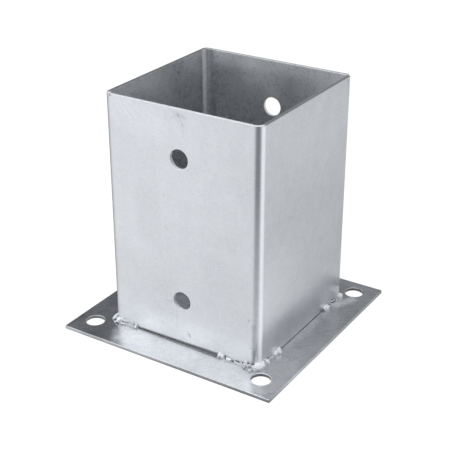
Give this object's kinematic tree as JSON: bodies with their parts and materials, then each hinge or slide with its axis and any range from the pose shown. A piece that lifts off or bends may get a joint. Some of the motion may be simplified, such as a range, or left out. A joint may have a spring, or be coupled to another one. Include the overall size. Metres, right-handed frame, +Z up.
{
  "type": "bolt-down post base",
  "caption": "Bolt-down steel base for a square timber post: an open folded sleeve welded at its corners to a flat square plate with anchor holes.",
  "frame": {"origin": "middle of the base plate's underside, which lies on z = 0", "axes": "+Z up along the post; the walls with the cross-bolt holes face -Y and +Y; the sleeve's open seam is at the +X +Y corner"},
  "size_m": [0.148, 0.147, 0.1528],
  "materials": {
    "plate_zinc": "satin zinc plate on mild steel, faintly mottled and scuffed",
    "sleeve_zinc": "satin zinc plate on mild steel, with fine scratches",
    "weld_metal": "zinc-plated weld metal, bright on its crests and dark in its pits"
  },
  "bodies": {
    "root": {"base_plate": "plate_zinc", "post_sleeve": "sleeve_zinc", "weld_front_corner": "weld_metal", "weld_left_corner": "weld_metal", "weld_back_corner": "weld_metal", "weld_right_corner": "weld_metal"}
  },
  "joints": []
}
